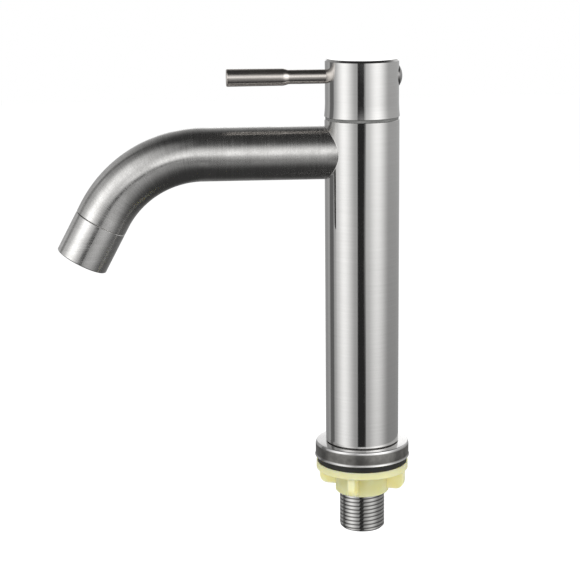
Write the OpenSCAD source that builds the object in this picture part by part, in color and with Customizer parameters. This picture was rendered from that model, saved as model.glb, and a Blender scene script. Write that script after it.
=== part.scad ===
// Basin tap for cold water: a quarter-turn lever cap on a round column, with a bent side spout.
// Frame: +Z up, the column axis on Z, the spout towards -Y, z = 0 on the deck under the gasket.

/* [Column] */
// Outside diameter of the column tube
body_d = 33.8; // [32.5:0.1:36]
// Wall of the column tube
body_wall = 1.5; // [1.2:0.1:1.8]
// Length of the column tube
body_length = 150.2; // [110:0.1:220]
// Small chamfer on the ends of the column tube
body_edge = 0.15; // [0.1:0.05:0.4]

/* [Base] */
// Thickness of the rubber gasket on the deck
gasket_t = 2.8; // [2:0.1:5]
// Diameter of the rubber gasket
gasket_d = 41.8; // [38:0.1:43]
// Height of the base flange
flange_t = 7.1; // [5:0.1:9]
// Diameter of the flange's side
flange_d = 43.5; // [43:0.1:46]
// How far the flange's foot flares out all round
foot_flare = 0.3; // [0.1:0.05:0.8]
// Height of that flare
foot_flare_h = 1.4; // [0.8:0.1:2.5]
// Rounding of the flange's lower edge
flange_round = 0.3; // [0.2:0.1:0.8]
// Width of the steep bevel above the flange's side
bevel_w = 0.3; // [0.1:0.05:0.6]
// Height of that bevel
bevel_h = 1; // [0.5:0.1:1.5]
// Rounding between the bevel and the flange's top
flange_edge = 0.5; // [0.2:0.1:0.8]
// Height of the dark groove between the flange and the column
groove_h = 0.4; // [0.3:0.1:1.5]
// How far that groove goes in under the column
groove_depth = 1.1; // [0.4:0.1:1.3]
// Height of the turned plug that closes the column's foot
base_plug_h = 12; // [8:0.5:16]
// How far below the plug's top the shank ends
shank_drop = 2; // [0.5:0.1:4]

/* [Shank] */
// Outside diameter of the half-inch pipe thread
thread_d = 20.955; // [20.6:0.005:21.1]
// Length of the shank below the deck
shank_length = 32.5; // [28:0.1:60]
// Bore of the shank
shank_bore_d = 15; // [12:0.1:16]
// Chamfer at the free end of the shank
shank_chamfer = 1; // [0.4:0.1:1.5]

/* [Mounting nut] */
// Diameter of the backing washer
washer_d = 42.8; // [38:0.1:48]
// Thickness of the backing washer
washer_t = 3.2; // [2:0.1:5]
// Height of the nut below the washer
nut_h = 11.4; // [9:0.1:16]
// Diameter of the nut's hub
hub_d = 24.8; // [23.6:0.1:28]
// Diameter over the nut's wings
wing_span = 40.6; // [36:0.1:46]
// Thickness of a wing
wing_t = 3.2; // [2.5:0.1:6]
// Number of wings
wing_count = 4; // [3:1:6]
// How much shorter than the hub the wings are
wing_rise = 2.2; // [0.5:0.1:4]
// Rounding of the wing's lower corner
wing_round = 3.8; // [1:0.1:4.5]
// Turn of the wings about the column
wing_turn = 69; // [0:1:90]

/* [Spout] */
// Outside diameter of the spout tube
spout_d = 24.2; // [22:0.1:26]
// Wall of the spout tube
spout_wall = 1.2; // [0.9:0.1:1.6]
// Height of the spout's axis below the column's top
spout_drop = 14.9; // [13.5:0.1:40.5]
// Distance from the column's axis to the start of the bend
spout_run = 72; // [45:0.1:120]
// Radius of the bend along the tube's axis
bend_r = 50.7; // [36:0.1:70]
// Angle of the bend
bend_angle = 61.9; // [30:0.1:85]
// Straight tube after the bend
spout_tail = 3.5; // [2.5:0.1:20]

/* [Aerator] */
// Length of the aerator housing
aerator_length = 19.6; // [18:0.1:26]
// Seam between the spout and the aerator housing
aerator_seam = 0.25; // [0.1:0.05:0.5]
// Wall of the outlet nipple that carries the housing
nipple_wall = 2; // [1.4:0.1:2.6]
// How far the nipple reaches into the housing
nipple_reach = 8; // [6:0.1:9]
// Thickness of the aerator washer
aerator_washer_t = 1.5; // [1:0.1:2]
// Thickness of the strainer plate
screen_t = 0.6; // [0.4:0.1:1]
// Width of the lip that holds the aerator's insert
outlet_lip = 1.9; // [1.2:0.1:2.5]
// Thickness of that lip
outlet_lip_t = 1.2; // [0.8:0.1:1.6]
// Width of one cell of the flow straightener
cell_w = 1.7; // [1.4:0.1:2.4]
// Web between two cells
cell_web = 0.4; // [0.3:0.05:0.6]

/* [Handle] */
// Outside diameter of the handle cap
cap_d = 33.3; // [32.5:0.1:38]
// How far the cap's foot flares out all round
cap_flare = 0.38; // [0.1:0.02:1]
// Height of that flare
cap_flare_h = 7; // [2:0.1:9]
// Height of the handle cap
cap_h = 25.9; // [22:0.1:34]
// Wall of the cap's skirt
cap_wall = 2; // [1.5:0.1:2.4]
// Thickness of the cap's top over the adapter
cap_top_t = 2.6; // [1.5:0.1:4]
// Chamfer on the cap's top edge
cap_edge = 1; // [0.2:0.1:1.5]
// Height of the lever's axis below the cap's top
lever_drop = 7.9; // [6:0.1:8.5]
// Distance from the column's axis to the lever's tip
lever_reach = 60.9; // [48:0.1:90]
// Diameter of the lever's stem
stem_d = 6.4; // [6:0.1:7.5]
// Distance from the column's axis to the lever's shoulder
lever_shoulder = 34; // [24:0.1:44]
// Diameter of the grip next to the shoulder
grip_d = 7.7; // [7.6:0.1:11]
// Diameter of the grip at its tip
grip_tip_d = 7.9; // [7.6:0.1:12]
// Chamfer on the grip's ends
grip_edge = 0.4; // [0.2:0.1:1]
// Diameter of the round plug behind the lever
plug_d = 9.4; // [7:0.1:11]
// How far the plug's dome stands proud of the cap
plug_proud = 1.5; // [0.8:0.1:2.5]
// Diameter of the grub screw
grub_d = 5; // [4:0.5:6]
// Width across flats of the grub screw's socket
grub_socket = 2.5; // [2:0.5:3]

/* [Seam ring] */
// Height of the glide ring between the column and the cap
ring_t = 1.2; // [0.8:0.1:2.5]
// How far the glide ring stays inside the column's outside
ring_inset = 0.35; // [0.2:0.05:0.8]
// Inside diameter of the glide ring
ring_bore_d = 29; // [28.4:0.1:30]

/* [Cartridge] */
// Height of the valve carrier
carrier_h = 34.2; // [32:0.1:38]
// Thickness of the carrier's floor
carrier_floor = 4; // [3:0.1:5]
// Thickness of the seat washer under the fixed disc
seat_washer_t = 2.2; // [1.5:0.1:3]
// Wall of the carrier round the valve chamber
chamber_wall = 2.9; // [2:0.1:3.5]
// Diameter of the valve seat's hole
seat_hole_d = 11; // [9:0.1:12]
// Diameter of the port from the carrier to the spout
outlet_port_d = 13; // [10:0.1:14]
// Thickness of the gasket under the cartridge's collar
cartridge_gasket_t = 1; // [0.5:0.1:1.5]
// Length of the cartridge's thread
cartridge_thread_h = 9.5; // [8:0.1:11]
// Width across flats of the cartridge's collar
collar_af = 24; // [22:0.5:24]
// Height of the hexagonal collar
collar_h = 5; // [4:0.1:6]
// Diameter of the cartridge's neck
neck_d = 16; // [14:0.1:18]
// Height of that neck above the collar
neck_tower_h = 6; // [4:0.1:6.5]
// Diameter of the cartridge's barrel
barrel_d = 18.4; // [17.6:0.1:18.6]
// Wall of the barrel
barrel_wall = 1.9; // [1.4:0.1:2.2]
// Diameter of the spindle's journal
journal_d = 8; // [7:0.1:9]
// Diameter over the spindle's teeth
spline_d = 7.8; // [6.6:0.1:7.9]
// Number of teeth on the spindle
spline_teeth = 20; // [16:1:24]
// Depth of those teeth
spline_depth = 0.5; // [0.3:0.05:0.6]
// Thickness of each ceramic disc
disc_t = 3.5; // [3:0.1:4]
// Rim left outside the ports in the ceramic discs
port_rim = 1.1; // [0.8:0.1:1.5]
// Inside radius of the ports in the ceramic discs
port_in_r = 2.3; // [1.8:0.1:3]
// Half the angle of a port in the ceramic discs
port_half_angle = 38; // [30:1:42]
// Travel of the handle from closed to open
handle_travel = 90; // [80:1:90]
// Width of the spindle's drive bar
drive_bar_w = 6; // [4:0.1:6.5]
// Section of the O-rings on the spindle
oring_section = 1; // [0.8:0.05:1.2]

/* [Fits] */
// Radial running clearance between parts that turn in each other
running = 0.05; // [0.02:0.01:0.1]
// Radial play of the nut and washer on the thread
thread_play = 0.08; // [0.03:0.01:0.1]
// Radial gap of parts that are pushed or screwed together
snug = 0.02; // [0.01:0.01:0.05]
// Gap between faces that slide past each other
face_gap = 0.1; // [0.05:0.01:0.2]

/* [Hidden] */
$fn = 96;
past = 1;

// Heights of the stack on the column's axis, from the deck upwards
flange_top_z = gasket_t + flange_t;
body_bottom_z = flange_top_z + groove_h;
body_top_z = body_bottom_z + body_length;
ring_top_z = body_top_z + ring_t;
cap_bottom_z = ring_top_z + face_gap;
cap_top_z = cap_bottom_z + cap_h;
lever_z = cap_top_z - lever_drop;

// Radii
body_r = body_d / 2;
body_in_r = body_r - body_wall;
thread_r = thread_d / 2;
snug_thread_r = thread_r + snug;
loose_thread_r = thread_r + thread_play;
spout_r = spout_d / 2;
spout_in_r = spout_r - spout_wall;

// The spout: the straight run starts inside the column's outline and is cut to its saddle
spout_z = body_top_z - spout_drop;
saddle_lap = 8;
saddle_start = body_r - saddle_lap;
bend_centre_z = spout_z - bend_r;

// The aerator, measured along the outlet's axis from the end of the bend
housing_z = spout_tail + aerator_seam;
housing_end_z = housing_z + aerator_length;
tail_lap = 0.3;
tail_step = 0.05;
nipple_root_z = 0.3;
nipple_end_z = spout_tail + nipple_reach;
nipple_r = spout_in_r - snug;
screen_z = nipple_end_z + aerator_washer_t;
insert_z = screen_z + screen_t;
insert_end_z = housing_end_z - outlet_lip_t;
insert_play = 0.15;
insert_r = spout_in_r - insert_play;
outlet_r = spout_r - outlet_lip - spout_wall;

// The cartridge and its carrier, from the carrier's floor upwards
carrier_bottom_z = body_top_z - carrier_h;
floor_z = carrier_bottom_z + carrier_floor;
collar_z = body_top_z + cartridge_gasket_t;
collar_top_z = collar_z + collar_h;
neck_top_z = collar_top_z + neck_tower_h;
barrel_r = barrel_d / 2;
cavity_r = barrel_r - barrel_wall;
disc_play = 0.1;
disc_r = cavity_r - disc_play;
barrel_lift = 0.7;
barrel_bottom_z = floor_z + barrel_lift;
fixed_disc_z = floor_z + seat_washer_t;
film = 0.02;
moving_disc_z = fixed_disc_z + disc_t + film;
drive_z = moving_disc_z + disc_t;
drive_h = 3.5;
tang_h = 1.2;
tang_w = drive_bar_w / 2;
stop_z = drive_z + drive_h + face_gap;
stop_h = 3.2;
lug_angle = 50;
stop_play_angle = 1;
chamber_r = body_in_r - chamber_wall;
thread_runout = 0.5;
chamber_top_z = body_top_z - cartridge_thread_h - thread_runout;
window_w = 9;
key_w = 2.4;
key_depth = 1.2;
bar_play = 0.3;
port_out_r = disc_r - port_rim;
journal_r = journal_d / 2;
journal_bore_r = journal_r + running;
oring_gap = 4;
circlip_groove_z = neck_top_z + face_gap / 2;
circlip_groove_w = 1;
circlip_groove_r = 3.3;

// The cap's inside
skirt_in_r = cap_d / 2 - cap_wall;
clip_room = 1.2;
skirt_top_z = neck_top_z + clip_room;
spline_lift = 0.1;
spline_z = skirt_top_z + spline_lift;
adapter_lift = 0.3;
adapter_z = skirt_top_z + adapter_lift;
adapter_top_z = cap_top_z - cap_top_t;
adapter_roof = 1.2;
spline_top_z = adapter_top_z - adapter_roof;
adapter_r = 6.5;
lever_root = 9;
lever_thread_d = 5.6;
stem_socket = 3.2;
plug_sink = 2.4;
plug_seat = cap_d / 2 - plug_sink;

// Colours of the finishes
steel = [0.66, 0.65, 0.63];
bright_steel = [0.78, 0.77, 0.75];
nut_yellow = [0.87, 0.84, 0.62];
brass = [0.80, 0.66, 0.36];
ceramic = [0.93, 0.92, 0.88];
rubber_black = [0.08, 0.08, 0.08];
white_plastic = [0.92, 0.92, 0.90];

// A ring or disc on the column's axis between two heights
module ring(outer_r, inner_r, z0, z1) {
    translate([0, 0, z0]) difference() {
        cylinder(r = outer_r, h = z1 - z0);
        translate([0, 0, -past]) cylinder(r = inner_r, h = z1 - z0 + 2 * past);
    }
}

// A part of a ring between two radii that starts at angle a0 and covers angle span
module ring_sector(outer_r, inner_r, z0, z1, a0, span) {
    translate([0, 0, z0]) rotate([0, 0, a0]) rotate_extrude(angle = span)
        translate([inner_r, 0]) square([outer_r - inner_r, z1 - z0]);
}

// Turns a shape that lies along +Z so that it lies along the spout's side, or the other side
module to_front() rotate([90, 0, 0]) children();
module to_back() rotate([-90, 0, 0]) children();

// Puts a shape on the outlet's axis, with z = 0 at the end of the bend and +Z downstream
module at_outlet()
    translate([0, -spout_run - bend_r * sin(bend_angle), bend_centre_z + bend_r * cos(bend_angle)])
        rotate([90 + bend_angle, 0, 0]) children();

// Outline of a wall that flares out smoothly over its last stretch, from the top down
function flare_points(wall_r, flare, top_z, h, steps) =
    let (arc_r = (h * h + flare * flare) / (2 * flare)) [
        for (i = [0 : steps])
            let (drop = h * i / steps)
                [wall_r + arc_r - sqrt(arc_r * arc_r - drop * drop), top_z - drop]
    ];

// Quarter-round outline about a centre, from angle a0 to a1
function arc_points(x, z, r, a0, a1, steps) = [
    for (i = [0 : steps])
        let (a = a0 + (a1 - a0) * i / steps)
            [x + r * cos(a), z + r * sin(a)]
];

// Outline of a toothed shaft or hole
function spline_points(outer, depth, teeth) = [
    for (i = [0 : 4 * teeth - 1])
        let (r = (i % 4) < 2 ? outer : outer - depth, a = (i + 0.5) * 90 / teeth)
            [r * cos(a), r * sin(a)]
];

// Column tube with the hole that lets water into the spout
module body_tube() {
    color(steel) difference() {
        rotate_extrude() polygon([
            [body_in_r, body_bottom_z], [body_r - body_edge, body_bottom_z],
            [body_r, body_bottom_z + body_edge], [body_r, body_top_z - body_edge],
            [body_r - body_edge, body_top_z], [body_in_r, body_top_z]
        ]);
        translate([0, 0, spout_z]) to_front() cylinder(r = spout_in_r, h = body_r + past);
    }
}

// Turned insert at the column's top: cartridge thread, valve chamber, seat and port to the spout
module valve_carrier() {
    pocket_step = 1.8;
    pocket_play = 0.1;
    barrel_pocket_z = barrel_bottom_z + pocket_step;
    color(brass) difference() {
        translate([0, 0, carrier_bottom_z]) cylinder(r = body_in_r - snug, h = carrier_h);
        translate([0, 0, chamber_top_z - past])
            cylinder(r = snug_thread_r, h = body_top_z - chamber_top_z + 2 * past);
        translate([0, 0, barrel_pocket_z])
            cylinder(r = chamber_r, h = chamber_top_z - barrel_pocket_z);
        translate([0, 0, floor_z]) cylinder(r = barrel_r + pocket_play, h = barrel_pocket_z - floor_z + past);
        translate([0, 0, carrier_bottom_z - past]) cylinder(d = seat_hole_d, h = carrier_floor + 2 * past);
        translate([0, 0, drive_z + drive_h / 2]) to_front()
            cylinder(d = outlet_port_d, h = body_r);
    }
}

// Turned plug in the column's foot that holds the shank
module base_plug() {
    color(steel) ring(body_in_r - snug, snug_thread_r, body_bottom_z, body_bottom_z + base_plug_h);
}

// Hollow inlet shank at its half-inch thread's outside diameter
module threaded_shank() {
    bore_r = shank_bore_d / 2;
    top_z = body_bottom_z + base_plug_h - shank_drop;
    color(bright_steel) rotate_extrude() polygon([
        [bore_r, -shank_length], [thread_r - shank_chamfer, -shank_length],
        [thread_r, -shank_length + shank_chamfer], [thread_r, top_z], [bore_r, top_z]
    ]);
}

// Base flange: flared foot, plain side, steep bevel, flat top, and a groove under the column
module base_flange() {
    side_r = flange_d / 2;
    foot_r = side_r + foot_flare;
    bevel_r = side_r - bevel_w;
    flare_top_z = gasket_t + flange_round + foot_flare_h;
    bevel_top_z = flange_top_z - flange_edge;
    groove_r = body_r - groove_depth;
    flare = flare_points(side_r, foot_flare, flare_top_z, foot_flare_h, 6);
    foot = arc_points(foot_r - flange_round, gasket_t + flange_round, flange_round, 0, -90, 4);
    edge = arc_points(bevel_r - flange_edge, bevel_top_z, flange_edge, 90, 0, 5);
    color(bright_steel) rotate_extrude() polygon(concat(
        [[snug_thread_r, body_bottom_z], [groove_r, body_bottom_z], [groove_r, flange_top_z]],
        edge, [[side_r, bevel_top_z - bevel_h]], flare, [for (i = [1 : 4]) foot[i]],
        [[snug_thread_r, gasket_t]]
    ));
}

// Black rubber gasket that seals the flange on the deck
module base_gasket() {
    color(rubber_black) ring(gasket_d / 2, snug_thread_r, 0, gasket_t);
}

// Solid rod of radius r along the spout's bend
module bend_rod(r) {
    translate([0, -spout_run, bend_centre_z]) rotate([180, -90, 0])
        rotate_extrude(angle = bend_angle) translate([bend_r, 0]) circle(r = r);
}

// The spout: one tube bent once, cut to a saddle that fits round the column
module spout_tube() {
    run = spout_run - saddle_start;
    color(steel) {
        difference() {
            translate([0, -saddle_start, spout_z]) to_front() cylinder(r = spout_r, h = run);
            translate([0, -saddle_start, spout_z]) to_front() translate([0, 0, -past])
                cylinder(r = spout_in_r, h = run + 2 * past);
            translate([0, 0, spout_z - spout_d]) cylinder(r = body_r, h = 2 * spout_d);
        }
        difference() {
            bend_rod(spout_r);
            bend_rod(spout_in_r);
        }
        at_outlet() ring(spout_r - tail_step, spout_in_r + tail_step, -tail_lap, spout_tail);
    }
}

// Threaded nipple fixed in the spout's end, which the aerator housing screws on
module outlet_nipple() {
    color(bright_steel) at_outlet()
        ring(nipple_r, spout_in_r - nipple_wall, nipple_root_z, nipple_end_z);
}

// Aerator housing: a sleeve as wide as the spout, with a lip that holds the insert
module aerator_housing() {
    seam_edge = 0.2;
    outlet_edge = 0.4;
    color(steel) at_outlet() rotate_extrude() polygon([
        [spout_in_r, housing_z], [spout_r - seam_edge, housing_z],
        [spout_r, housing_z + seam_edge], [spout_r, housing_end_z - outlet_edge],
        [spout_r - outlet_edge, housing_end_z],
        [outlet_r, housing_end_z], [outlet_r, insert_end_z], [spout_in_r, insert_end_z]
    ]);
}

// Rubber washer between the nipple and the strainer
module aerator_washer() {
    washer_lip = 0.6;
    color(rubber_black) at_outlet()
        ring(insert_r, spout_in_r - nipple_wall - washer_lip, nipple_end_z, screen_z);
}

// Places a child on each point of a hexagonal grid inside a circle
module hex_grid(pitch, limit_r) {
    rows = ceil(limit_r / (pitch * sin(60)));
    columns = ceil(limit_r / pitch) + 1;
    for (j = [-rows : rows], i = [-columns : columns]) {
        x = (i + (j % 2 == 0 ? 0 : 0.5)) * pitch;
        y = j * pitch * sin(60);
        if (norm([x, y]) <= limit_r) translate([x, y]) children();
    }
}

// Strainer plate with round holes
module aerator_screen() {
    screen_hole = 1.1;
    screen_pitch = 2.1;
    color(bright_steel) at_outlet() translate([0, 0, screen_z]) linear_extrude(screen_t) difference() {
        circle(r = insert_r);
        hex_grid(screen_pitch, outlet_r - screen_hole) circle(d = screen_hole, $fn = 6);
    }
}

// Flow straightener: a plastic plug with a honeycomb of through cells
module aerator_insert() {
    cell_d = cell_w / cos(30);
    color(white_plastic) at_outlet() translate([0, 0, insert_z])
        linear_extrude(insert_end_z - insert_z) difference() {
            circle(r = insert_r);
            hex_grid(cell_w + cell_web, outlet_r - cell_w) rotate(30) circle(d = cell_d, $fn = 6);
        }
}

// Brass cartridge housing: hexagonal collar, thread, and a barrel with windows and a stop
module cartridge_housing() {
    free_angle = lug_angle + handle_travel + 2 * stop_play_angle;
    slot_inset = 0.05;
    key_play = 0.1;
    module outside() {
        translate([0, 0, barrel_bottom_z]) cylinder(r = barrel_r, h = collar_z - barrel_bottom_z);
        translate([0, 0, collar_z - cartridge_thread_h - cartridge_gasket_t])
            cylinder(r = thread_r, h = cartridge_thread_h + cartridge_gasket_t);
        translate([0, 0, collar_z]) cylinder(d = collar_af / cos(30), h = collar_h, $fn = 6);
        translate([0, 0, collar_top_z]) cylinder(d = neck_d, h = neck_tower_h);
    }
    color(brass) difference() {
        outside();
        translate([0, 0, barrel_bottom_z - past])
            cylinder(r = cavity_r, h = stop_z - barrel_bottom_z + past);
        ring_sector(cavity_r - slot_inset, journal_r - past, stop_z - past, stop_z + stop_h + face_gap,
            -lug_angle / 2 - stop_play_angle, free_angle);
        translate([0, 0, stop_z]) cylinder(r = journal_bore_r, h = neck_top_z - stop_z + past);
        translate([-barrel_d, -window_w / 2, drive_z - disc_t / 2])
            cube([2 * barrel_d, window_w, drive_h + disc_t / 2]);
        translate([-key_w / 2 - key_play, -cavity_r - key_depth, barrel_bottom_z - past])
            cube([key_w + 2 * key_play, 2 * (cavity_r + key_depth),
                fixed_disc_z + disc_t - barrel_bottom_z + past]);
    }
}

// Flat gasket under the cartridge's collar
module cartridge_gasket() {
    color(rubber_black) ring(collar_af / 2, snug_thread_r, body_top_z, collar_z);
}

// Two opposite ports in a ceramic disc, centred on the given angle
module disc_ports(z0, centre) {
    for (side = [0, 180])
        ring_sector(port_out_r, port_in_r, z0 - past, z0 + disc_t + past,
            centre + side - port_half_angle, 2 * port_half_angle);
}

// Lower ceramic disc, keyed in the housing
module fixed_ceramic_disc() {
    color(ceramic) difference() {
        union() {
            translate([0, 0, fixed_disc_z]) cylinder(r = disc_r, h = disc_t);
            translate([-key_w / 2, -disc_r - key_depth, fixed_disc_z])
                cube([key_w, 2 * (disc_r + key_depth), disc_t]);
        }
        disc_ports(fixed_disc_z, 0);
    }
}

// Soft seat ring that seals the fixed disc on the carrier's floor
module seat_washer() {
    hole_step = 0.3;
    color([0.55, 0.12, 0.10]) ring(disc_r, seat_hole_d / 2 + hole_step, floor_z, fixed_disc_z);
}

// Plastic glide ring in the seam under the handle cap
module glide_ring() {
    color([0.42, 0.42, 0.41]) ring(body_r - ring_inset, ring_bore_d / 2, body_top_z, ring_top_z);
}

// Handle cap: flared foot, skirt over the cartridge, and seats for adapter, lever, screw and plug
module handle_cap() {
    cap_r = cap_d / 2;
    foot_edge = 0.1;
    flare = flare_points(cap_r, cap_flare, cap_bottom_z + foot_edge + cap_flare_h, cap_flare_h, 8);
    color(steel) difference() {
        rotate_extrude() polygon(concat(
            [[0, cap_top_z], [cap_r - cap_edge, cap_top_z], [cap_r, cap_top_z - cap_edge]], flare,
            [[cap_r + cap_flare - foot_edge, cap_bottom_z], [skirt_in_r, cap_bottom_z],
             [skirt_in_r, skirt_top_z], [0, skirt_top_z]]
        ));
        translate([0, 0, skirt_top_z - past])
            cylinder(r = adapter_r + snug, h = adapter_top_z - skirt_top_z + past);
        translate([0, 0, lever_z]) {
            to_front() cylinder(d = lever_thread_d + 2 * snug, h = cap_r);
            to_front() translate([0, 0, cap_r - stem_socket]) cylinder(r = stem_d / 2 + snug, h = cap_r);
            to_back() cylinder(d = grub_d + 2 * snug, h = cap_r);
            to_back() translate([0, 0, plug_seat]) cylinder(r = plug_d / 2 + snug, h = cap_r);
        }
    }
}

// Turned lever: threaded root, thin stem, and a slightly tapered grip
module lever() {
    grip_r = grip_d / 2;
    tip_r = grip_tip_d / 2;
    stem_r = stem_d / 2;
    stem_root = cap_d / 2 - stem_socket;
    color(steel) translate([0, 0, lever_z]) to_front() rotate_extrude() polygon([
        [0, lever_root], [lever_thread_d / 2, lever_root], [lever_thread_d / 2, stem_root],
        [stem_r, stem_root], [stem_r, lever_shoulder], [grip_r - grip_edge, lever_shoulder],
        [grip_r, lever_shoulder + grip_edge], [tip_r, lever_reach - grip_edge],
        [tip_r - grip_edge, lever_reach], [0, lever_reach]
    ]);
}

// Domed plug that hides the grub screw
module index_plug() {
    plug_r = plug_d / 2;
    rim = cap_d / 2 - plug_seat;
    dome_r = (plug_r * plug_r + plug_proud * plug_proud) / (2 * plug_proud);
    color(bright_steel) translate([0, 0, lever_z]) to_back() translate([0, 0, plug_seat]) intersection() {
        cylinder(r = plug_r, h = rim + plug_proud + past);
        translate([0, 0, rim + plug_proud - dome_r]) sphere(r = dome_r);
    }
}

// Grub screw that clamps the adapter in the cap
module grub_screw() {
    screw_l = 5;
    socket_depth = 2.5;
    color([0.25, 0.25, 0.26]) translate([0, 0, lever_z]) to_back() translate([0, 0, adapter_r]) difference() {
        cylinder(d = grub_d, h = screw_l);
        translate([0, 0, screw_l - socket_depth])
            cylinder(d = grub_socket / cos(30), h = socket_depth + past, $fn = 6);
    }
}

// Plastic bush between the spindle's teeth and the cap
module spline_adapter() {
    tooth_runout = 0.4;
    color(white_plastic) difference() {
        translate([0, 0, adapter_z]) cylinder(r = adapter_r, h = adapter_top_z - adapter_z);
        translate([0, 0, adapter_z - past]) linear_extrude(spline_top_z - adapter_z + past + tooth_runout)
            polygon(spline_points(spline_d / 2 + running, spline_depth, spline_teeth));
    }
}

// Brass spindle: toothed top, journal with two O-ring grooves, stop lug and drive bar
module cartridge_spindle() {
    groove_play = 0.4;
    groove_w = oring_section + groove_play;
    groove_r = journal_r - oring_section;
    module groove(z, r, w)
        translate([0, 0, z - w / 2]) difference() {
            cylinder(r = journal_r + past, h = w);
            translate([0, 0, -past]) cylinder(r = r, h = w + 2 * past);
        }
    color(brass) difference() {
        union() {
            translate([0, 0, drive_z]) intersection() {
                cylinder(r = disc_r - bar_play, h = drive_h);
                translate([-disc_r, -drive_bar_w / 2, 0]) cube([2 * disc_r, drive_bar_w, drive_h]);
            }
            translate([0, 0, drive_z - tang_h]) intersection() {
                cylinder(r = disc_r - bar_play, h = tang_h + past);
                translate([-disc_r, -tang_w / 2, 0]) cube([2 * disc_r, tang_w, tang_h + past]);
            }
            translate([0, 0, drive_z]) cylinder(r = journal_r, h = spline_z - drive_z);
            ring_sector(cavity_r - bar_play, journal_r - past, stop_z - face_gap, stop_z + stop_h - face_gap,
                -lug_angle / 2, lug_angle);
            translate([0, 0, spline_z - past]) linear_extrude(spline_top_z - spline_z + past)
                polygon(spline_points(spline_d / 2, spline_depth, spline_teeth));
        }
        for (z = oring_heights()) groove(z, groove_r, groove_w);
        groove(circlip_groove_z + circlip_groove_w / 2, circlip_groove_r, circlip_groove_w);
    }
}

// Heights of the two O-rings on the journal
function oring_heights() = [neck_top_z - 2 * oring_gap, neck_top_z - oring_gap];

// O-rings that seal the spindle in the housing
module spindle_o_rings() {
    groove_gap = 0.01;
    section_r = oring_section / 2 - groove_gap;
    color(rubber_black) for (z = oring_heights())
        translate([0, 0, z]) rotate_extrude() translate([journal_r - oring_section / 2, 0])
            circle(r = section_r, $fn = 32);
}

// Spring-steel circlip that keeps the spindle in the housing
module spindle_circlip() {
    clip_t = 0.9;
    clip_out_r = 6;
    gap_w = 3.4;
    clip_z = circlip_groove_z + (circlip_groove_w - clip_t) / 2;
    color([0.30, 0.30, 0.31]) translate([0, 0, clip_z]) difference() {
        cylinder(r = clip_out_r, h = clip_t);
        translate([0, 0, -past]) cylinder(r = circlip_groove_r + running, h = clip_t + 2 * past);
        translate([0, -gap_w / 2, -past]) cube([clip_out_r + past, gap_w, clip_t + 2 * past]);
    }
}

// Upper ceramic disc, turned by the spindle's tang
module moving_ceramic_disc() {
    slot_play = 0.1;
    color(ceramic) difference() {
        translate([0, 0, moving_disc_z]) cylinder(r = disc_r, h = disc_t);
        disc_ports(moving_disc_z, 90);
        translate([-disc_r - past, -tang_w / 2 - slot_play, drive_z - tang_h - slot_play])
            cube([2 * (disc_r + past), tang_w + 2 * slot_play, tang_h + past]);
    }
}

// Backing washer that bears on the underside of the deck
module nut_washer() {
    color(nut_yellow) ring(washer_d / 2, loose_thread_r, -washer_t, 0);
}

// Wing nut on the shank's thread
module mounting_nut() {
    wing_r = wing_span / 2;
    wing_h = nut_h - wing_rise;
    hub_edge = 0.4;
    module wing_outline() {
        translate([0, -wing_h + wing_round]) square([wing_r, wing_h - wing_round]);
        translate([0, -wing_h]) square([wing_r - wing_round, wing_h]);
        translate([wing_r - wing_round, -wing_h + wing_round]) circle(r = wing_round);
    }
    color(nut_yellow) translate([0, 0, -washer_t - face_gap]) difference() {
        union() {
            rotate_extrude() polygon([
                [0, 0], [hub_d / 2, 0], [hub_d / 2, -nut_h + hub_edge],
                [hub_d / 2 - hub_edge, -nut_h], [0, -nut_h]
            ]);
            for (i = [0 : wing_count - 1]) rotate([0, 0, wing_turn + i * 360 / wing_count])
                translate([0, wing_t / 2, 0]) to_front() linear_extrude(wing_t) wing_outline();
        }
        translate([0, 0, -nut_h - past]) cylinder(r = loose_thread_r, h = nut_h + 2 * past);
    }
}

body_tube();
valve_carrier();
base_plug();
threaded_shank();
base_flange();
base_gasket();
spout_tube();
outlet_nipple();
aerator_housing();
aerator_washer();
aerator_screen();
aerator_insert();
cartridge_housing();
cartridge_gasket();
fixed_ceramic_disc();
seat_washer();
glide_ring();
handle_cap();
lever();
index_plug();
grub_screw();
spline_adapter();
cartridge_spindle();
spindle_o_rings();
spindle_circlip();
moving_ceramic_disc();
nut_washer();
mounting_nut();
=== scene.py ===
"""Looks of the basin tap: stainless column, bent spout, quarter-turn lever cap, flange, gasket and wing nut.

Everything is in metres in the CAD frame: +Z up the column, the spout and the closed lever towards -Y.
"""

import math

import bpy
from mathutils import Matrix, Vector


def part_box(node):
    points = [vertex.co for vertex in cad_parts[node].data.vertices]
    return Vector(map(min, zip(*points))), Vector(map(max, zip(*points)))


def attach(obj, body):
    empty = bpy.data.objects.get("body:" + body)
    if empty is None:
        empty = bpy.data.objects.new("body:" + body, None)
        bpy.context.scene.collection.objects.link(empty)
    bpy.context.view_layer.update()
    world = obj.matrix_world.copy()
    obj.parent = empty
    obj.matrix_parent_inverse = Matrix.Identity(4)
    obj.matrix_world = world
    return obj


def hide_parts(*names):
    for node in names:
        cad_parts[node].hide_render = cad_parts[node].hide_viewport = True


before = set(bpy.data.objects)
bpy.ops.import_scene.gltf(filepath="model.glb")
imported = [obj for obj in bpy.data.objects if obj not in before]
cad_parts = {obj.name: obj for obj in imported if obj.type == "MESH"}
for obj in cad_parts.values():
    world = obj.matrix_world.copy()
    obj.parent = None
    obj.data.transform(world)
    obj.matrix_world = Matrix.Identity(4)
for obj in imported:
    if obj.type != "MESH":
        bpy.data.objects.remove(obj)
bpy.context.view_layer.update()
MM = 0.001
WHITE = (1, 1, 1, 1)

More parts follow.
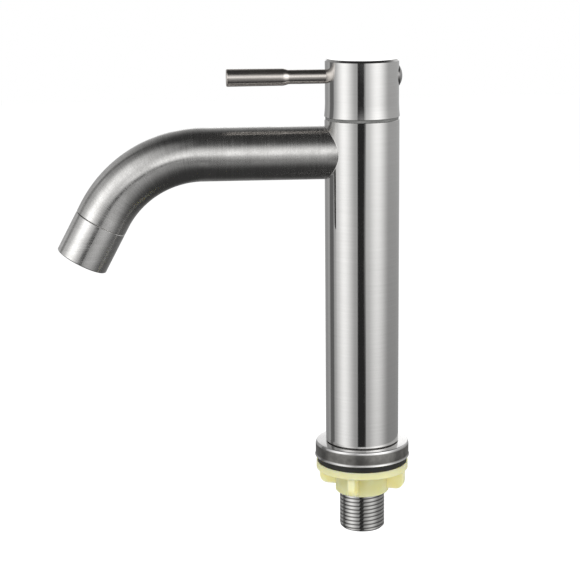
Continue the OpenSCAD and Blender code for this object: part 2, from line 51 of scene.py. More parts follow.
# Camera: where it stands, seen from the column's axis, and how it is turned
CAMERA_DISTANCE = 772.8 * MM
CAMERA_HEIGHT = 254.2 * MM
CAMERA_TURN = math.radians(83.7)
CAMERA_TILT = math.radians(12.42)
CAMERA_PAN = math.radians(2.456)
CAMERA_ROLL = math.radians(-0.544)
CAMERA_LENS = 106.7

# Studio that the metal reflects, in degrees: 0 is towards the camera, and +90 to the picture's right.
# What goes on to BEHIND ends past the back, so that its soft end is never seen.
GAP_LEFT = -13.5
GAP_RIGHT = 7.3
LEFT_BOX_END = -98
BEHIND = 200
EDGE_SOFTNESS = 2

# Plain light all round, and the floor
AMBIENT = 0.68
FLOOR_Z = -160 * MM
FLOOR_SIZE = 6.0
FLOOR_PAINT = (0.8, 0.8, 0.8, 1)
FLOOR_GLOW = 0.45

# Spout, as in the CAD: one bend, and a short straight tail up to the aerator's seam
SPOUT_Z = 145.6 * MM
SPOUT_RUN = 72 * MM
BEND_RADIUS = 50.7 * MM
BEND_ANGLE = math.radians(61.9)
SPOUT_TAIL = 3.5 * MM
SPOUT_RADIUS = 12.1 * MM
SPOUT_WALL = 1.2 * MM
COLUMN_RADIUS = 16.9 * MM

# The tube starts sunk in the column's wall, has a weld round its foot, and a small bevel at its end
SPOUT_SINK = 0.4 * MM
WELD = 0.15 * MM
WELD_MARGIN = 1 * MM
END_BEVEL = 0.15 * MM
END_MARGIN = 0.5 * MM

# Pin lever: a peg in the cap, a thin stem and a thicker grip, placed by distance from the column's axis.
# Its end faces go in to LEVER_CORE, so that no ring shrinks to a point.
LEVER_Z = 179.8 * MM
LEVER_START = 9.0 * MM
STEM_START = 13.45 * MM
STEM_MIDDLE = 24.0 * MM
STEM_END = 32.6 * MM
GRIP_MIDDLE = 48.0 * MM
GRIP_END = 59.9 * MM
LEVER_END = 60.9 * MM
LEVER_ROUND = 0.6 * MM
LEVER_CORE = 0.02 * MM
PEG_RADIUS = 2.8 * MM
STEM_RADIUS = 3.2 * MM
GRIP_MIDDLE_RADIUS = 3.9 * MM
GRIP_END_RADIUS = 3.948 * MM
LEVER_TIP_RADIUS = 3.95 * MM
TIP_FACE_RADIUS = 1.6 * MM

# The soft cove from the stem to the grip, as radius and distance from the column's axis in millimetres
SHOULDER = [(3.22, 33.0), (3.32, 33.45), (3.47, 33.9), (3.62, 34.4), (3.75, 34.9), (3.83, 35.4),
            (3.855, 35.9), (3.86, 37.0)]

# Base flange, as in the CAD
FLANGE_BORE = 10.5 * MM
FLANGE_SIDE = 21.75 * MM
FLANGE_FOOT = 22.05 * MM
FLANGE_LOW = 2.8 * MM
FLANGE_TOP = 9.9 * MM
FLARE_HEIGHT = 1.4 * MM
FOOT_ROUND = 0.3 * MM
BEVEL_WIDTH = 0.3 * MM
BEVEL_HEIGHT = 1.0 * MM
EDGE_ROUND = 0.5 * MM
GROOVE_RADIUS = 15.8 * MM
GROOVE_TOP = 10.3 * MM

# Half-inch pipe thread, right-hand, on the shank; the crests are worn flat, and shares are of the pitch
THREAD_PITCH = 1.814 * MM
THREAD_DEPTH = 0.5 * MM
THREAD_TOP = 4 * MM
CREST_SHARE = 0.40
FLANKS_SHARE = 0.34
SHANK_BORE = 7.5 * MM
SHANK_CHAMFER = 1.0 * MM

# Facets: points in a ring, and rings along a stretch
SHANK_AROUND = 128
FLANGE_AROUND = 160
LEVER_AROUND = 64
SPOUT_AROUND = 96
RINGS_A_TURN = 20
FLARE_STEPS = 6
WELD_STEPS = 6
RUN_STEPS = 12
BEND_STEPS = 40

# Reflections that lean less upwards than the surface does, since the real soft boxes stood close
CAP_FOOT = 170.5 * MM
FOOT_BLEND = 0.5 * MM
FOOT_LEVELLING = 0.4
THREAD_LEVELLING = 0.06

# Finish of the flange: where its matt side, darker lower rim and groove's painted shade begin and end
MATT_LOW = 3.9 * MM
MATT_HIGH = 8.75 * MM
MATT_SOFT = 0.3 * MM
SIDE_EDGE = (21.0 * MM, 21.3 * MM)
RIM_EDGE = (3.7 * MM, 4.2 * MM)
GROOVE_EDGE = (15.9 * MM, 16.3 * MM)
# How much darker the lower rim is painted, and the dark tone: painted shade in the groove, and the rim's
# darkening
RIM_DARKENING = 0.32
GROOVE_SHADE_AND_RIM_TONE = (0.22, 0.216, 0.21, 1)

# The dark and the light tone of the flange's rims, the flange's side, and the thread from groove to crest,
# where the thread's dark groove tone is painted shade
POLISHED = ((0.60, 0.595, 0.59), (0.68, 0.675, 0.67))
BLASTED = ((0.14, 0.137, 0.13), (0.235, 0.23, 0.218))
THREAD_GROOVE_SHADE_TO_CREST = ((0.13, 0.127, 0.122), (0.68, 0.675, 0.66))

# Radii where the thread goes from painted shade in its grooves to polished crests,
# and the nut from its hub's painted shade, a deeper yellow, to its wing tones
CREST_EDGE = (9.95 * MM, 10.48 * MM)
HUB_SHADE_EDGE = (12.4 * MM, 13.4 * MM)

# Streaks: how finely the noise is squeezed along each axis
TURNED = (60, 60, 2600)
TURNED_FINELY = (90, 90, 3000)
DRAWN = (2600, 60, 2600)
EVEN = (300, 300, 300)

# Heights of relief: the sway of metal, the flange's blasting, the thread's wear, and plastic's grain
SWAY = 1.2e-5
BLASTING = 1.2e-5
WEAR = 2e-6
PLASTIC_GRAIN = 1.5e-5

# Plastic: how much its roughness varies, and how far red, green and blue light go in, as shares of its depth
PLASTIC_SPREAD = 0.06
LIGHT_REACH = (1.0, 0.85, 0.4)

# Metals: the dark and the light tone of their streaks, their roughness, and what else sets each apart
STEELS = {
    "column_steel": dict(low=(0.595, 0.59, 0.58), high=(0.65, 0.645, 0.635), roughness=0.07,
                         spread=0.02, groove=5e-7),
    "cap_steel": dict(low=(0.60, 0.595, 0.585), high=(0.655, 0.65, 0.64), roughness=0.07,
                      spread=0.02, groove=5e-7, foot=CAP_FOOT),
    "spout_steel": dict(low=(0.50, 0.493, 0.48), high=(0.88, 0.87, 0.855), roughness=0.22,
                        spread=0.04, groove=3e-7, mottle=0.7, bent=True),
    "aerator_steel": dict(low=(0.58, 0.573, 0.56), high=(0.86, 0.852, 0.84), roughness=0.22,
                          spread=0.04, groove=3e-7, mottle=0.6),
    "lever_steel": dict(low=(0.61, 0.573, 0.54), high=(0.80, 0.752, 0.708), roughness=0.20,
                        along=DRAWN, groove=3e-7, mottle=0.5),
    "turned_steel": dict(low=(0.60, 0.595, 0.585), high=(0.68, 0.675, 0.665), roughness=0.16),
    # Painted shade: the hidden outlet nipple is painted near black, so that the aerator's seam shows as a
    # dark line
    "seam_shade_steel": dict(low=(0.06, 0.058, 0.055), high=(0.12, 0.117, 0.112), roughness=0.45),
    "plug_steel": dict(low=(0.30, 0.295, 0.29), high=(0.38, 0.375, 0.37), roughness=0.30, along=EVEN),
    "brass": dict(low=(0.72, 0.55, 0.26), high=(0.80, 0.64, 0.34), roughness=0.25),
    "blackened_steel": dict(low=(0.08, 0.08, 0.08), high=(0.14, 0.14, 0.14), roughness=0.35),
}

# Plastics, rubber and ceramic: the two tones of their clouds, their roughness, and what else sets each apart
PLASTICS = {
    "rubber": dict(low=(0.006, 0.006, 0.005), high=(0.014, 0.014, 0.012), roughness=0.55, edge=0.3 * MM),
    "silicone": dict(low=(0.42, 0.07, 0.05), high=(0.52, 0.11, 0.08), roughness=0.5),
    "white_plastic": dict(low=(0.82, 0.82, 0.79), high=(0.90, 0.90, 0.87), roughness=0.4,
                          depth=0.8 * MM, weight=0.6),
    "grey_plastic": dict(low=(0.16, 0.16, 0.155), high=(0.22, 0.22, 0.215), roughness=0.45),
    # The nut's own tones hold painted shade: its hub is painted a deeper yellow than its wings
    "nut_plastic": dict(low=(0.95, 0.805, 0.36), high=(0.985, 0.87, 0.46), roughness=0.36, edge=0.5 * MM,
                        depth=7 * MM, weight=0.85, unshaded_wings=((0.93, 0.825, 0.43), (0.97, 0.885, 0.53))),
    "washer_plastic": dict(low=(0.78, 0.745, 0.40), high=(0.84, 0.81, 0.48), roughness=0.40, edge=0.4 * MM,
                           depth=5 * MM, weight=0.8),
    "alumina": dict(low=(0.86, 0.85, 0.81), high=(0.92, 0.91, 0.87), roughness=0.2),
}

# The finish of every CAD node, also of those that a finer piece stands for here
NODE_FINISH = {
    "body_tube": "column_steel", "handle_cap": "cap_steel",
    "spout_tube": "aerator_steel", "aerator_housing": "aerator_steel", "lever": "lever_steel",
    "base_flange": "turned_steel", "threaded_shank": "turned_steel", "base_plug": "turned_steel",
    "outlet_nipple": "seam_shade_steel", "aerator_screen": "turned_steel", "index_plug": "plug_steel",
    "valve_carrier": "brass", "cartridge_housing": "brass", "cartridge_spindle": "brass",
    "base_gasket": "rubber", "aerator_washer": "rubber", "cartridge_gasket": "rubber",
    "spindle_o_rings": "rubber", "seat_washer": "silicone",
    "aerator_insert": "white_plastic", "spline_adapter": "white_plastic", "glide_ring": "grey_plastic",
    "nut_washer": "washer_plastic", "mounting_nut": "nut_plastic",
    "fixed_ceramic_disc": "alumina", "moving_ceramic_disc": "alumina",
    "grub_screw": "blackened_steel", "spindle_circlip": "blackened_steel",
}


def node(tree, kind, inputs=None, **settings):
    """Adds a node, applies its settings, and fills its inputs with values or links."""
    made = tree.nodes.new(kind)
    for name, value in settings.items():
        setattr(made, name, value)
    for key, value in (inputs or {}).items():
        socket = made.inputs[key]
        if isinstance(value, bpy.types.NodeSocket):
            tree.links.new(value, socket)
        else:
            socket.default_value = value
    return made


def calc(tree, operation, first, second=0.0):
    """One Math node."""
    return node(tree, "ShaderNodeMath", {0: first, 1: second}, operation=operation).outputs[0]


def total(tree, parts):
    """The sum of (strength, socket) pairs."""
    result = 0.0
    for strength, socket in parts:
        result = calc(tree, "ADD", result, calc(tree, "MULTIPLY", socket, strength))
    return result


def product(tree, *factors):
    """The factors multiplied together."""
    result = factors[0]
    for factor in factors[1:]:
        result = calc(tree, "MULTIPLY", result, factor)
    return result


def fade(tree, value, low, high, start=0.0, end=1.0):
    """Goes smoothly from start to end while value goes from low to high."""
    inputs = {"Value": value, "From Min": low, "From Max": high, "To Min": start, "To Max": end}
    made = node(tree, "ShaderNodeMapRange", inputs, interpolation_type="SMOOTHSTEP")
    return made.outputs["Result"]


def fall(tree, value, low, high):
    """Goes smoothly from 1 to 0 while value goes from low to high."""
    return fade(tree, value, low, high, 1.0, 0.0)


def panel(tree, value, first, last, soft=EDGE_SOFTNESS):
    """1 between two values and 0 outside them, with soft edges."""
    rise = fade(tree, value, first - soft, first + soft)
    return product(tree, rise, fall(tree, value, last - soft, last + soft))


def glow(tree, value, centre, width):
    """1 at one value, falling smoothly to 0 at a width on both sides."""
    away = calc(tree, "ABSOLUTE", calc(tree, "SUBTRACT", value, centre))
    return fall(tree, away, 0.0, width)


def make_camera():
    """The photograph's viewpoint, with the picture's middle on the lens axis."""
    turn = Matrix.Rotation(CAMERA_TURN, 3, "Z")
    level = Vector((-math.sin(CAMERA_PAN), math.cos(CAMERA_PAN), 0))
    right = Vector((math.cos(CAMERA_PAN), math.sin(CAMERA_PAN), 0))
    ahead = level * math.cos(CAMERA_TILT) - Vector((0, 0, math.sin(CAMERA_TILT)))
    up = right.cross(ahead)
    rolled_right = right * math.cos(CAMERA_ROLL) + up * math.sin(CAMERA_ROLL)
    rolled_up = up * math.cos(CAMERA_ROLL) - right * math.sin(CAMERA_ROLL)
    axes = turn @ Matrix((rolled_right, rolled_up, -ahead)).transposed()
    data = bpy.data.cameras.new("camera")
    data.lens = CAMERA_LENS
    camera = bpy.data.objects.new("camera", data)
    bpy.context.collection.objects.link(camera)
    camera.matrix_world = axes.to_4x4()
    camera.location = turn @ Vector((0, -CAMERA_DISTANCE, CAMERA_HEIGHT))
    bpy.context.scene.camera = camera


def studio(tree):
    """What metal reflects: two soft boxes with a dark gap between them, joined overhead, and grey walls."""
    direction = node(tree, "ShaderNodeTexCoord").outputs["Generated"]
    facing = CAMERA_TURN - math.pi / 2
    turned = node(tree, "ShaderNodeVectorRotate", {"Vector": direction, "Angle": -facing},
                  rotation_type="Z_AXIS").outputs[0]
    parts = node(tree, "ShaderNodeSeparateXYZ", {0: turned}).outputs
    degrees = 180 / math.pi
    azimuth = calc(tree, "MULTIPLY", calc(tree, "ARCTAN2", parts["Y"], parts["X"]), degrees)
    height = calc(tree, "MULTIPLY", calc(tree, "ARCSINE", parts["Z"]), degrees)

    # How the boxes weaken downwards and upwards, most of all high over the camera and to its right
    overhead = fade(tree, height, -6, 8)
    upper = fall(tree, height, 12, 76)
    front = calc(tree, "MAXIMUM", fade(tree, height, 20, 54, 1.0, 0.08), fall(tree, azimuth, -18, 2))
    left_fall = product(tree, fade(tree, height, -82, 15), upper)
    right_fall = product(tree, calc(tree, "POWER", fade(tree, height, -75, 25), 2.0), upper, front)

    # Left box: a beam that leans with height, the roof over the gap, and the far edge's upper part
    leaning = fade(tree, height, -8, 30, -57.5, -43.5)
    beam = product(tree, glow(tree, azimuth, leaning, 41),
                   calc(tree, "MAXIMUM", fall(tree, azimuth, -16, -11), overhead))
    roof = product(tree, panel(tree, azimuth, GAP_LEFT, GAP_RIGHT), overhead, front)
    far_edge = product(tree, panel(tree, azimuth, -104, -97, soft=3), overhead)

    # Walls beyond the left box: a dim one, a bright strip, and the grey one at the back
    dim_wall = panel(tree, azimuth, -121, LEFT_BOX_END)
    strip = panel(tree, azimuth, -131, -119, soft=3)
    back_wall = panel(tree, azimuth, -BEHIND, -130, soft=3)

    # Right box: a beam, and the corner that stands nearer
    right_beam = product(tree, glow(tree, azimuth, 48, 46), fade(tree, azimuth, 5, 11))
    corner = product(tree, panel(tree, azimuth, 5.1, 9, soft=1.2), panel(tree, height, -13.5, -8, soft=3))

    # Faint light low in the gap and above its right edge, and the bright backdrop behind the tap
    low_gap = product(tree, panel(tree, azimuth, 2, 8, soft=3), fade(tree, height, -60, -30),
                      fall(tree, height, -30, -20))
    lobe = product(tree, panel(tree, azimuth, -6, 20, soft=6), panel(tree, height, -1, 18, soft=6))
    backdrop = product(tree, fade(tree, calc(tree, "ABSOLUTE", azimuth), 160, 172), fade(tree, height, -1, 3),
                       fade(tree, height, 8, 17, 1.0, 0.62), fall(tree, height, 19, 26))
    dimness = fade(tree, height, -60, -20, 0.045, 0.03)

    left_box = total(tree, [
        (0.56, panel(tree, azimuth, LEFT_BOX_END, GAP_LEFT)),
        (1.10, beam),
        (0.17, dim_wall),
        (0.50, strip),
        (0.43, back_wall),
        (0.85, roof),
        (0.25, far_edge),
    ])
    right_box = total(tree, [
        (0.60, corner),
        (0.81, panel(tree, azimuth, GAP_RIGHT, BEHIND)),
        (1.55, right_beam),
    ])
    return total(tree, [
        (1.0, product(tree, left_box, left_fall)),
        (1.0, product(tree, right_box, right_fall)),
        (0.30, low_gap),
        (0.24, lobe),
        (1.0, backdrop),
        (1.0, dimness),
    ])


def background(tree, strength):
    """White light of a strength from all round."""
    return node(tree, "ShaderNodeBackground", {"Color": WHITE, "Strength": strength}).outputs[0]


def either(tree, factor, first, second):
    """The first shader where the factor is 0, and the second where it is 1."""
    return node(tree, "ShaderNodeMixShader", {0: factor, 1: first, 2: second}).outputs[0]


def make_world():
    """White for the camera, the studio for reflections, and plain soft light for the rest."""
    world = bpy.data.worlds.new("studio")
    bpy.context.scene.world = world
    world.use_nodes = True
    tree = world.node_tree
    tree.nodes.clear()
    path = node(tree, "ShaderNodeLightPath").outputs
    mirrored = calc(tree, "MAXIMUM", path["Is Glossy Ray"], path["Is Transmission Ray"])
    lit = either(tree, mirrored, background(tree, AMBIENT), background(tree, studio(tree)))
    seen = either(tree, path["Is Camera Ray"], lit, background(tree, 1.0))
    node(tree, "ShaderNodeOutputWorld", {0: seen})


def make_lamp(name, location, size, power):
    """A soft box that lights plain surfaces; the metal reflects the studio instead."""
    data = bpy.data.lights.new(name, "AREA")
    data.shape = "SQUARE"
    data.size = size
    data.energy = power
    lamp = bpy.data.objects.new(name, data)
    bpy.context.collection.objects.link(lamp)
    lamp.location = location
    lamp.rotation_euler = (-Vector(location)).to_track_quat("-Z", "Y").to_euler()
    lamp.visible_camera = False
    lamp.visible_glossy = False


def new_material(name):
    """An empty node material and its tree."""
    material = bpy.data.materials.new(name)
    material.use_nodes = True
    material.node_tree.nodes.clear()
    return material, material.node_tree


def make_floor():
    """A pale floor well below the shank's end, since the tap hangs in its deck hole."""
    mesh = bpy.data.meshes.new("floor")
    half = FLOOR_SIZE / 2
    corners = [(-half, -half, FLOOR_Z), (half, -half, FLOOR_Z), (half, half, FLOOR_Z), (-half, half, FLOOR_Z)]
    mesh.from_pydata(corners, [], [(0, 1, 2, 3)])
    floor = bpy.data.objects.new("floor", mesh)
    bpy.context.collection.objects.link(floor)
    floor.visible_glossy = False
    material, tree = new_material("floor")
    path = node(tree, "ShaderNodeLightPath").outputs
    seen = calc(tree, "MULTIPLY", path["Is Camera Ray"], FLOOR_GLOW)
    paint = node(tree, "ShaderNodeBsdfDiffuse", {"Color": FLOOR_PAINT})
    shine = node(tree, "ShaderNodeEmission", {"Color": WHITE, "Strength": seen})
    both = node(tree, "ShaderNodeAddShader", {0: paint.outputs[0], 1: shine.outputs[0]})
    node(tree, "ShaderNodeOutputMaterial", {0: both.outputs[0]})
    mesh.materials.append(material)


def coordinates(tree):
    """The place on a piece in the CAD frame, as three sockets."""
    where = node(tree, "ShaderNodeTexCoord").outputs["Object"]
    return node(tree, "ShaderNodeSeparateXYZ", {0: where}).outputs


def radius_of(tree):
    """The distance from the column's axis."""
    parts = coordinates(tree)
    level = node(tree, "ShaderNodeCombineXYZ", {"X": parts["X"], "Y": parts["Y"]}).outputs[0]
    return node(tree, "ShaderNodeVectorMath", {0: level}, operation="LENGTH").outputs["Value"]


def stretched(tree, scale=(1, 1, 1), bent=False):
    """Places on a piece, or along the bent tube, times a scale per axis, so that noise becomes streaks."""
    if bent:
        where = node(tree, "ShaderNodeAttribute", attribute_name="straightened").outputs["Vector"]
    else:
        where = node(tree, "ShaderNodeTexCoord").outputs["Object"]
    return node(tree, "ShaderNodeMapping", {"Vector": where, "Scale": scale}).outputs[0]


def noise(tree, vector, scale, detail, roughness=0.5):
    """Noise from 0 to 1."""
    inputs = {"Vector": vector, "Scale": scale, "Detail": detail, "Roughness": roughness}
    return node(tree, "ShaderNodeTexNoise", inputs).outputs["Fac"]


def blend(tree, factor, first, second):
    """A colour between two others."""
    return node(tree, "ShaderNodeMix", {"Factor": factor, 6: first, 7: second}, data_type="RGBA").outputs[2]


def two_tones(tree, factor, low, high):
    """A colour between two tones of red, green and blue."""
    return blend(tree, factor, (*low, 1), (*high, 1))


def levelled(tree, share):
    """The surface's normal with its upright part cut to a share, as where lamps stand close."""
    normal = node(tree, "ShaderNodeNewGeometry").outputs["Normal"]
    flat = node(tree, "ShaderNodeCombineXYZ", {"X": 1.0, "Y": 1.0, "Z": share}).outputs[0]
    pressed = node(tree, "ShaderNodeVectorMath", {0: normal, 1: flat}, operation="MULTIPLY").outputs[0]
    return node(tree, "ShaderNodeVectorMath", {0: pressed}, operation="NORMALIZE").outputs[0]


def metal(tree, colour, rough, height, depth, normal=None):
    """Gives the material a bare metal surface with a relief of height times depth."""
    relief = {"Height": height, "Strength": 1.0, "Distance": depth}
    if normal is not None:
        relief["Normal"] = normal
    bump = node(tree, "ShaderNodeBump", relief)
    shader = node(tree, "ShaderNodeBsdfPrincipled", {
        "Base Color": colour, "Metallic": 1.0, "Roughness": rough, "Normal": bump.outputs[0]})
    node(tree, "ShaderNodeOutputMaterial", {0: shader.outputs[0]})


def steel(name, low, high, roughness, along=TURNED, spread=0.03, groove=1e-6, mottle=0.2, bent=False,
          foot=0.0):
    """Metal with streaks, a slight sway and a faint cloudiness; below foot, its normal is levelled."""
    material, tree = new_material(name)
    broad_along = tuple(0.3 * scale for scale in along)
    fine = noise(tree, stretched(tree, along, bent), scale=1.0, detail=3.0, roughness=0.6)
    broad = noise(tree, stretched(tree, broad_along, bent), scale=1.0, detail=2.0)
    cloud = noise(tree, stretched(tree, bent=bent), scale=140.0, detail=3.0)
    uneven = noise(tree, stretched(tree, (1, 1, 0.6), bent), scale=32.0, detail=1.0)
    grain = noise(tree, stretched(tree, bent=bent), scale=1300.0, detail=3.0, roughness=0.6)
    patches = total(tree, [
        (0.4, fade(tree, cloud, 0.3, 0.7)),
        (0.2, fade(tree, uneven, 0.3, 0.7)),
        (0.4, fade(tree, grain, 0.25, 0.75)),
    ])
    streaks = total(tree, [
        (0.7 - 0.7 * mottle, fade(tree, fine, 0.25, 0.75)),
        (0.3 - 0.3 * mottle, fade(tree, broad, 0.3, 0.7)),
        (mottle, patches),
    ])
    rough = total(tree, [
        (1.0, fade(tree, fine, 0.2, 0.8, roughness - spread, roughness + spread)),
        (spread, fade(tree, cloud, 0.3, 0.7, 1.0, -1.0)),
        (spread * mottle, fade(tree, grain, 0.25, 0.75, 1.0, -1.0)),
    ])
    swayed = node(tree, "ShaderNodeBump", {"Height": uneven, "Strength": 1.0, "Distance": SWAY})
    if foot:
        share = fade(tree, coordinates(tree)["Z"], foot - FOOT_BLEND, foot + FOOT_BLEND, FOOT_LEVELLING, 1.0)
        tree.links.new(levelled(tree, share), swayed.inputs["Normal"])
    metal(tree, two_tones(tree, streaks, low, high), rough, fine, groove, swayed.outputs[0])
    return material


def flange_steel():
    """Flange: blasted side between two polished rims, the lower darker, and painted shade in the groove under
    the column.
    """
    material, tree = new_material("flange_steel")
    level = coordinates(tree)["Z"]
    radius = radius_of(tree)
    outside = fade(tree, radius, *SIDE_EDGE)
    side = product(tree, panel(tree, level, MATT_LOW, MATT_HIGH, MATT_SOFT), outside)
    # Painted shade: the groove under the column is painted dark, standing for the shadow in that gap
    groove = fall(tree, radius, *GROOVE_EDGE)
    # The lower rim is painted a little darker
    rim = product(tree, fall(tree, level, *RIM_EDGE), outside)
    fine = noise(tree, stretched(tree, TURNED_FINELY), scale=1.0, detail=3.0)
    grain = noise(tree, stretched(tree), scale=1500.0, detail=4.0, roughness=0.6)
    cloud = noise(tree, stretched(tree), scale=180.0, detail=3.0, roughness=0.6)
    polished = two_tones(tree, fine, *POLISHED)
    blasted = two_tones(tree, fade(tree, cloud, 0.3, 0.7), *BLASTED)
    groove_shade_and_rim = total(tree, [(1.0, groove), (RIM_DARKENING, rim)])
    colour = blend(tree, groove_shade_and_rim, blend(tree, side, polished, blasted), GROOVE_SHADE_AND_RIM_TONE)
    rough = total(tree, [
        (1.0, fade(tree, side, 0.0, 1.0, 0.13, 0.42)),
        (0.35, groove),
        (0.05, fade(tree, grain, 0.2, 0.8, -1.0, 1.0)),
    ])
    height = total(tree, [(0.15, fine), (1.0, product(tree, grain, side))])
    metal(tree, colour, rough, height, BLASTING)
    return material


def thread_steel():
    """The rolled thread: polished crests, and painted shade with a rougher finish down in the grooves."""
    material, tree = new_material("thread_steel")
    # Painted shade: the colour darkens towards the groove's radius, standing for the shade down in the thread
    crest = fade(tree, radius_of(tree), *CREST_EDGE)
    cloud = noise(tree, stretched(tree), scale=600.0, detail=3.0, roughness=0.6)
    crest_and_cloud = total(tree, [(0.85, crest), (0.15, cloud)])
    colour = two_tones(tree, crest_and_cloud, *THREAD_GROOVE_SHADE_TO_CREST)
    rough = total(tree, [(1.0, fade(tree, crest_and_cloud, 0.0, 1.0, 0.24, 0.07)), (0.04, cloud)])
    metal(tree, colour, rough, cloud, WEAR, levelled(tree, THREAD_LEVELLING))
    return material


def plastic(name, low, high, roughness, edge=0.0, depth=0.0, weight=0.0, unshaded_wings=None):
    """Plastic, rubber or ceramic with a faint grain; depth lets light in, and the wing tones are lighter than
    the hub's painted shade.
    """
    material, tree = new_material(name)
    grain = noise(tree, stretched(tree), scale=900.0, detail=3.0)
    cloud = fade(tree, noise(tree, stretched(tree), scale=120.0, detail=3.0), 0.3, 0.7)
    rough = fade(tree, grain, 0.3, 0.7, roughness - PLASTIC_SPREAD, roughness + PLASTIC_SPREAD)
    bump = node(tree, "ShaderNodeBump", {"Height": grain, "Strength": 0.5, "Distance": PLASTIC_GRAIN})
    if edge:
        soft = node(tree, "ShaderNodeBevel", {"Radius": edge}, samples=6)
        tree.links.new(soft.outputs[0], bump.inputs["Normal"])
    shade = two_tones(tree, cloud, low, high)
    # Painted shade: the hub keeps the deeper yellow, and past the hub's edge the wings get lighter tones
    if unshaded_wings:
        shade = blend(tree, fade(tree, radius_of(tree), *HUB_SHADE_EDGE), shade, two_tones(tree, cloud, *unshaded_wings))
    shader = node(tree, "ShaderNodeBsdfPrincipled", {
        "Base Color": shade, "Roughness": rough, "Normal": bump.outputs[0]})
    if depth:
        shader.inputs["Subsurface Weight"].default_value = weight
        shader.inputs["Subsurface Radius"].default_value = LIGHT_REACH
        shader.inputs["Subsurface Scale"].default_value = depth
    node(tree, "ShaderNodeOutputMaterial", {0: shader.outputs[0]})
    return material


def make_materials():
    """One material for each finish."""
    finishes = {name: steel(name, **settings) for name, settings in STEELS.items()}
    finishes.update({name: plastic(name, **settings) for name, settings in PLASTICS.items()})
    finishes["thread_steel"] = thread_steel()
    finishes["flange_steel"] = flange_steel()
    return finishes


def dress_nodes(finishes):
    """Gives every CAD node its material."""
    for name, finish in NODE_FINISH.items():
        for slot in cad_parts[name].material_slots:
            slot.material = finishes[finish]


def skin(name, rings, material, body, sharp):
    """A mesh through rings of points, the last joined to the first; edges over sharp degrees stay hard."""
    mesh = bpy.data.meshes.new(name)
    count = len(rings[0])
    faces = []
    for i in range(len(rings)):
        here = i * count
        there = (i + 1) % len(rings) * count
        for j in range(count):
            k = (j + 1) % count
            faces.append((here + j, here + k, there + k, there + j))
    mesh.from_pydata([point for ring in rings for point in ring], [], faces)
    mesh.validate()
    mesh.materials.append(material)
    mesh.shade_smooth()
    mesh.set_sharp_from_angle(angle=math.radians(sharp))
    piece = bpy.data.objects.new(name, mesh)
    bpy.context.collection.objects.link(piece)
    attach(piece, body)
    return piece


def angles(count):
    """Angles evenly round a full turn."""
    return [math.tau * j / count for j in range(count)]


def circle(radius, height, count):
    """A ring of points about the column's axis."""
    return [(radius * math.cos(t), radius * math.sin(t), height) for t in angles(count)]


def arc(across, along, radius, first, last, steps):
    """Points of a profile on an arc about a centre, from one angle in degrees to another."""
    turns = [math.radians(first + (last - first) * i / steps) for i in range(steps + 1)]
    return [(across + radius * math.cos(t), along + radius * math.sin(t)) for t in turns]


def thread_ring(crest, height, limit):
    """A ring of points on the helical thread, cut down to a limit where the end is chamfered."""
    points = []
    for j in range(SHANK_AROUND):
        turn = j / SHANK_AROUND
        phase = (height / THREAD_PITCH - turn) % 1.0
        flank = min(max((abs(2 * phase - 1) - CREST_SHARE) / FLANKS_SHARE, 0.0), 1.0)
        radius = min(crest - THREAD_DEPTH * flank, limit)
        points.append((radius * math.cos(math.tau * turn), radius * math.sin(math.tau * turn), height))
    return points


def make_shank(material):
    """The inlet shank with its real thread, up to where the flange hides it."""
    low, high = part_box("threaded_shank")
    crest = high.x
    root = crest - THREAD_DEPTH
    rings = [circle(SHANK_BORE, high.z, SHANK_AROUND), circle(root, high.z, SHANK_AROUND),
             circle(root, THREAD_TOP, SHANK_AROUND)]
    step = THREAD_PITCH / RINGS_A_TURN
    for i in range(1, round((THREAD_TOP - low.z) / step)):
        height = THREAD_TOP - i * step
        rings.append(thread_ring(crest, height, crest - SHANK_CHAMFER + (height - low.z)))
    rings.append(thread_ring(crest, low.z, crest - SHANK_CHAMFER))
    rings.append(circle(SHANK_BORE, low.z, SHANK_AROUND))
    piece = skin("shank_thread", rings, material, "column", sharp=85)
    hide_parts("threaded_shank")


def make_flange(material):
    """The base flange as one lathe: flared foot, side, thin bevel, rounded top edge, and groove."""
    profile = [(FLANGE_BORE, FLANGE_LOW)]
    profile += arc(FLANGE_FOOT - FOOT_ROUND, FLANGE_LOW + FOOT_ROUND, FOOT_ROUND, -90, 0, steps=4)
    flare = FLANGE_FOOT - FLANGE_SIDE
    hollow = (FLARE_HEIGHT ** 2 + flare ** 2) / (2 * flare)
    for i in range(1, FLARE_STEPS + 1):
        drop = FLARE_HEIGHT * (FLARE_STEPS - i) / FLARE_STEPS
        profile.append((FLANGE_SIDE + hollow - math.sqrt(hollow ** 2 - drop ** 2),
                        FLANGE_LOW + FOOT_ROUND + FLARE_HEIGHT - drop))
    profile.append((FLANGE_SIDE, FLANGE_TOP - EDGE_ROUND - BEVEL_HEIGHT))
    bevel = FLANGE_SIDE - BEVEL_WIDTH
    profile += arc(bevel - EDGE_ROUND, FLANGE_TOP - EDGE_ROUND, EDGE_ROUND, 0, 90, steps=5)
    profile += [(GROOVE_RADIUS, FLANGE_TOP), (GROOVE_RADIUS, GROOVE_TOP), (FLANGE_BORE, GROOVE_TOP)]
    rings = [circle(radius, z, FLANGE_AROUND) for radius, z in profile]
    piece = skin("turned_flange", rings, material, "column", sharp=30)
    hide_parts("base_flange")


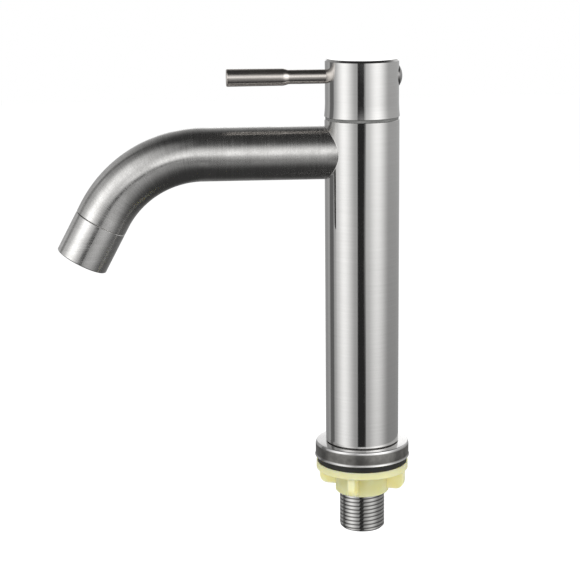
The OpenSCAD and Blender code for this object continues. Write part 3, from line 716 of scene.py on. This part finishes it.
def make_lever(material):
    """The pin lever as one lathe: thin stem, soft shoulder, and tapered grip with a rounded end."""
    profile = [(LEVER_CORE, LEVER_START), (PEG_RADIUS, LEVER_START), (PEG_RADIUS, STEM_START),
               (STEM_RADIUS, STEM_START), (STEM_RADIUS, STEM_MIDDLE), (STEM_RADIUS, STEM_END)]
    profile += [(radius * MM, reach * MM) for radius, reach in SHOULDER]
    profile += [(GRIP_MIDDLE_RADIUS, GRIP_MIDDLE), (GRIP_END_RADIUS, GRIP_END)]
    profile += arc(LEVER_TIP_RADIUS - LEVER_ROUND, LEVER_END - LEVER_ROUND, LEVER_ROUND, 0, 90, steps=5)
    profile += [(TIP_FACE_RADIUS, LEVER_END), (LEVER_CORE, LEVER_END)]
    rings = []
    for radius, reach in profile:
        rings.append([(radius * math.cos(t), -reach, LEVER_Z + radius * math.sin(t))
                      for t in angles(LEVER_AROUND)])
    piece = skin("turned_lever", rings, material, "handle", sharp=40)
    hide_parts("lever")


def spout_place(length):
    """The spout's middle line at a length from the column's axis: its point, and the way that is outwards."""
    angle = min(max((length - SPOUT_RUN) / BEND_RADIUS, 0.0), BEND_ANGLE)
    ahead = Vector((0, -math.cos(angle), -math.sin(angle)))
    outward = Vector((0, -math.sin(angle), math.cos(angle)))
    point = Vector((0, -min(length, SPOUT_RUN) - BEND_RADIUS * math.sin(angle),
                    SPOUT_Z - BEND_RADIUS * (1 - math.cos(angle))))
    point += ahead * max(length - SPOUT_RUN - BEND_RADIUS * BEND_ANGLE, 0.0)
    return point, outward


def on_column(radius, wall):
    """How far from the column's axis a tube of one radius meets a column of another, round the tube."""
    return [math.sqrt(wall ** 2 - (radius * math.cos(t)) ** 2) for t in angles(SPOUT_AROUND)]


def make_spout(material):
    """The bent tube, with a small weld round its foot, and coordinates along it that are straightened out."""
    end = SPOUT_RUN + BEND_RADIUS * BEND_ANGLE + SPOUT_TAIL
    inner = SPOUT_RADIUS - SPOUT_WALL
    rows = []

    def add_row(radius, lengths):
        """A ring of points at one radius, with a length for each of its angles."""
        row = []
        for t, length in zip(angles(SPOUT_AROUND), lengths):
            point, outward = spout_place(length)
            place = point + Vector((radius * math.cos(t), 0, 0)) + outward * (radius * math.sin(t))
            row.append((place, (radius * math.cos(t), radius * math.sin(t), length)))
        rows.append(row)

    def add_level_row(radius, length):
        """A ring square to the tube."""
        add_row(radius, [length] * SPOUT_AROUND)

    sunk = COLUMN_RADIUS - SPOUT_SINK
    add_row(inner, on_column(inner, sunk))
    add_row(SPOUT_RADIUS + WELD, on_column(SPOUT_RADIUS + WELD, sunk))
    for i in range(WELD_STEPS + 1):
        u = i / WELD_STEPS
        radius = SPOUT_RADIUS + WELD * (1 - u) ** 2
        add_row(radius, [length + WELD * u ** 2 for length in on_column(radius, COLUMN_RADIUS)])
    start = max(on_column(SPOUT_RADIUS, COLUMN_RADIUS)) + WELD + WELD_MARGIN
    stations = [start + (SPOUT_RUN - start) * i / RUN_STEPS for i in range(RUN_STEPS + 1)]
    stations += [SPOUT_RUN + BEND_RADIUS * BEND_ANGLE * i / BEND_STEPS for i in range(1, BEND_STEPS + 1)]
    stations.append(end - END_MARGIN)
    for length in stations + [end - END_BEVEL]:
        add_level_row(SPOUT_RADIUS, length)
    add_level_row(SPOUT_RADIUS - END_BEVEL, end)
    add_level_row(inner, end)
    for length in reversed(stations):
        add_level_row(inner, length)
    piece = skin("bent_spout", [[place for place, _ in row] for row in rows], material, "column", sharp=30)
    values = [value for row in rows for _, straight in row for value in straight]
    layer = piece.data.attributes.new("straightened", "FLOAT_VECTOR", "POINT")
    layer.data.foreach_set("vector", values)
    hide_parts("spout_tube")


make_camera()
make_world()
make_lamp("key_lamp", (0.9, -0.7, 1.1), size=0.9, power=9.0)
make_lamp("fill_lamp", (0.7, 0.9, 0.6), size=0.9, power=4.0)
make_floor()
bpy.context.scene.view_settings.view_transform = "Standard"
materials = make_materials()
dress_nodes(materials)
make_shank(materials["thread_steel"])
make_flange(materials["flange_steel"])
make_spout(materials["spout_steel"])
make_lever(materials["lever_steel"])
